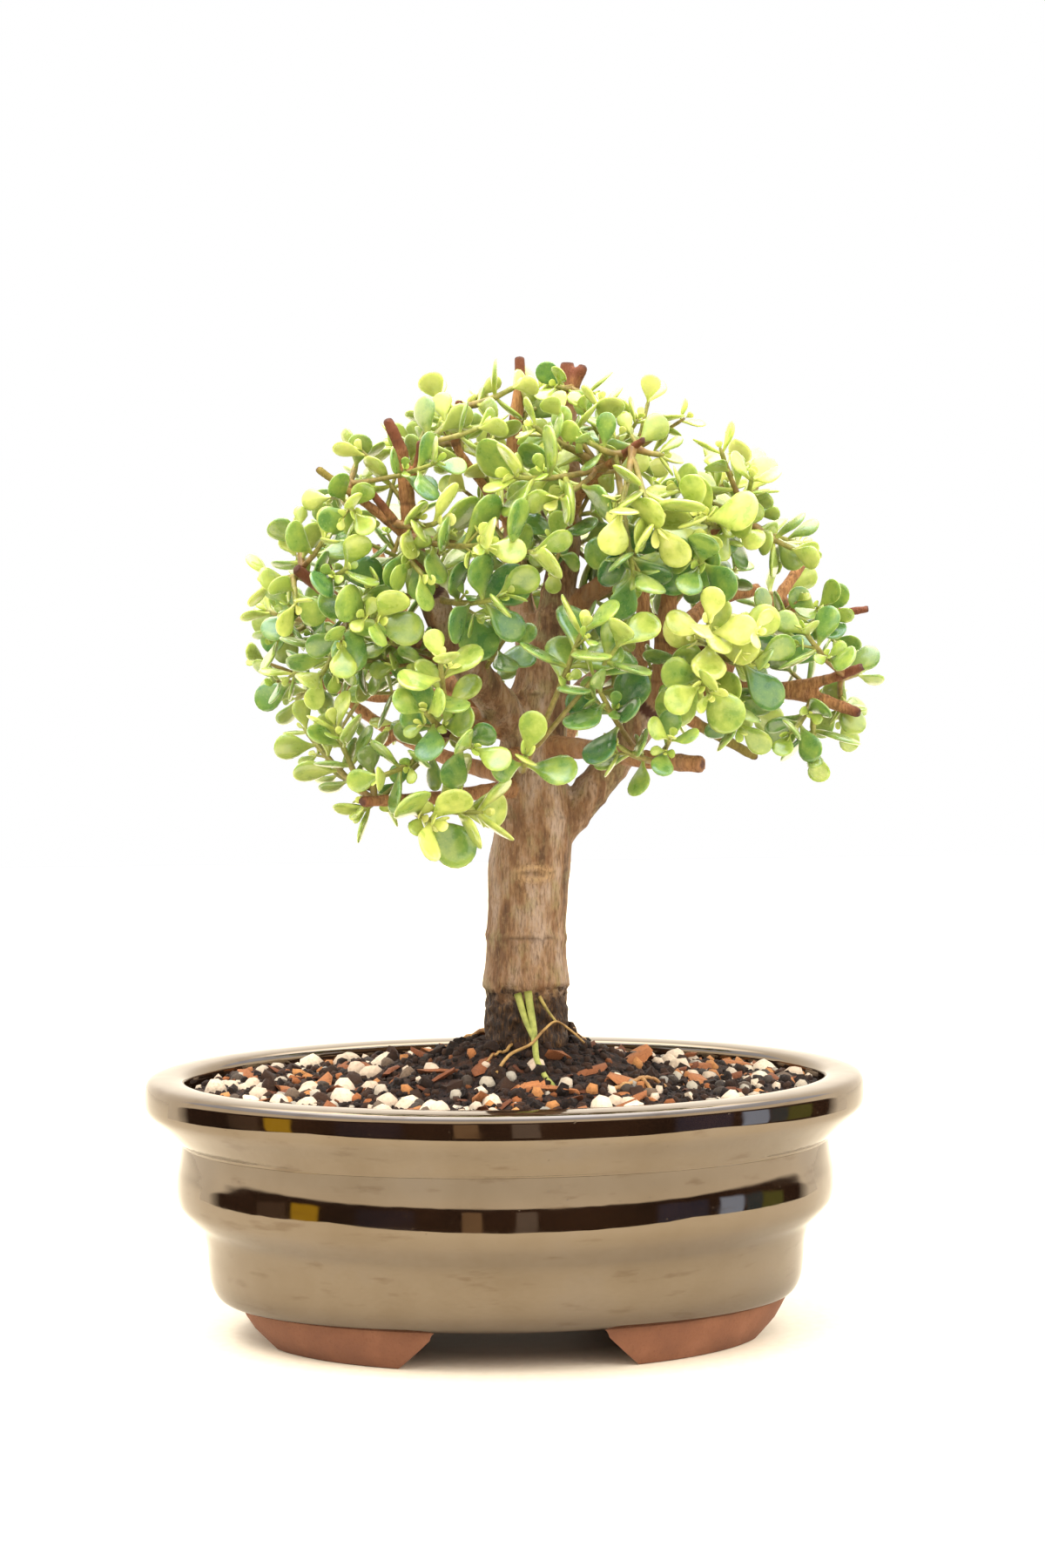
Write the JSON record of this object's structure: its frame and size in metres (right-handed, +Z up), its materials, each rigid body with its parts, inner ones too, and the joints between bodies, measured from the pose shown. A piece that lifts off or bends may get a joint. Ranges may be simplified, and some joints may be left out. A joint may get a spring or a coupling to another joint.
{
  "type": "dwarf jade bonsai",
  "caption": "Small jade tree with a thick bare trunk and a rounded crown of fleshy leaves, in an oval glazed pot on bracket feet.",
  "frame": {"origin": "middle of the part's box, at the level the feet stand on", "axes": "+Z up, +X along the pot's long side to the right seen from the front, -Y towards the front"},
  "size_m": [0.2066, 0.153, 0.275],
  "materials": {
    "glaze": "glossy brown-black glaze, unglazed terracotta feet",
    "soil": "loose peat with pumice and lava grit",
    "bark": "matt ringed bark",
    "leaf": "waxy satin leaves",
    "net": "moulded net"
  },
  "bodies": {
    "root": {"drain_screen_1": "net", "drain_screen_2": "net", "pot": "glaze", "soil": "soil", "spray_01": "leaf", "spray_02": "leaf", "spray_03": "leaf", "spray_04": "leaf", "spray_05": "leaf", "spray_06": "leaf", "spray_07": "leaf", "spray_08": "leaf", "spray_09": "leaf", "spray_10": "leaf", "spray_11": "leaf", "spray_12": "leaf", "spray_13": "leaf", "spray_14": "leaf", "spray_15": "leaf", "spray_16": "leaf", "spray_17": "leaf", "spray_18": "leaf", "spray_19": "leaf", "spray_20": "leaf", "spray_21": "leaf", "spray_22": "leaf", "spray_23": "leaf", "spray_24": "leaf", "spray_25": "leaf", "spray_26": "leaf", "spray_27": "leaf", "spray_28": "leaf", "spray_29": "leaf", "spray_30": "leaf", "spray_31": "leaf", "spray_32": "leaf", "spray_33": "leaf", "spray_34": "leaf", "spray_35": "leaf", "spray_36": "leaf", "spray_37": "leaf", "spray_38": "leaf", "spray_39": "leaf", "spray_40": "leaf", "spray_41": "leaf", "spray_42": "leaf", "spray_43": "leaf", "spray_44": "leaf", "spray_45": "leaf", "spray_46": "leaf", "spray_47": "leaf", "spray_48": "leaf", "spray_49": "leaf", "spray_50": "leaf", "spray_51": "leaf", "spray_52": "leaf", "spray_53": "leaf", "spray_54": "leaf", "spray_55": "leaf", "wood": "bark"}
  },
  "joints": []
}
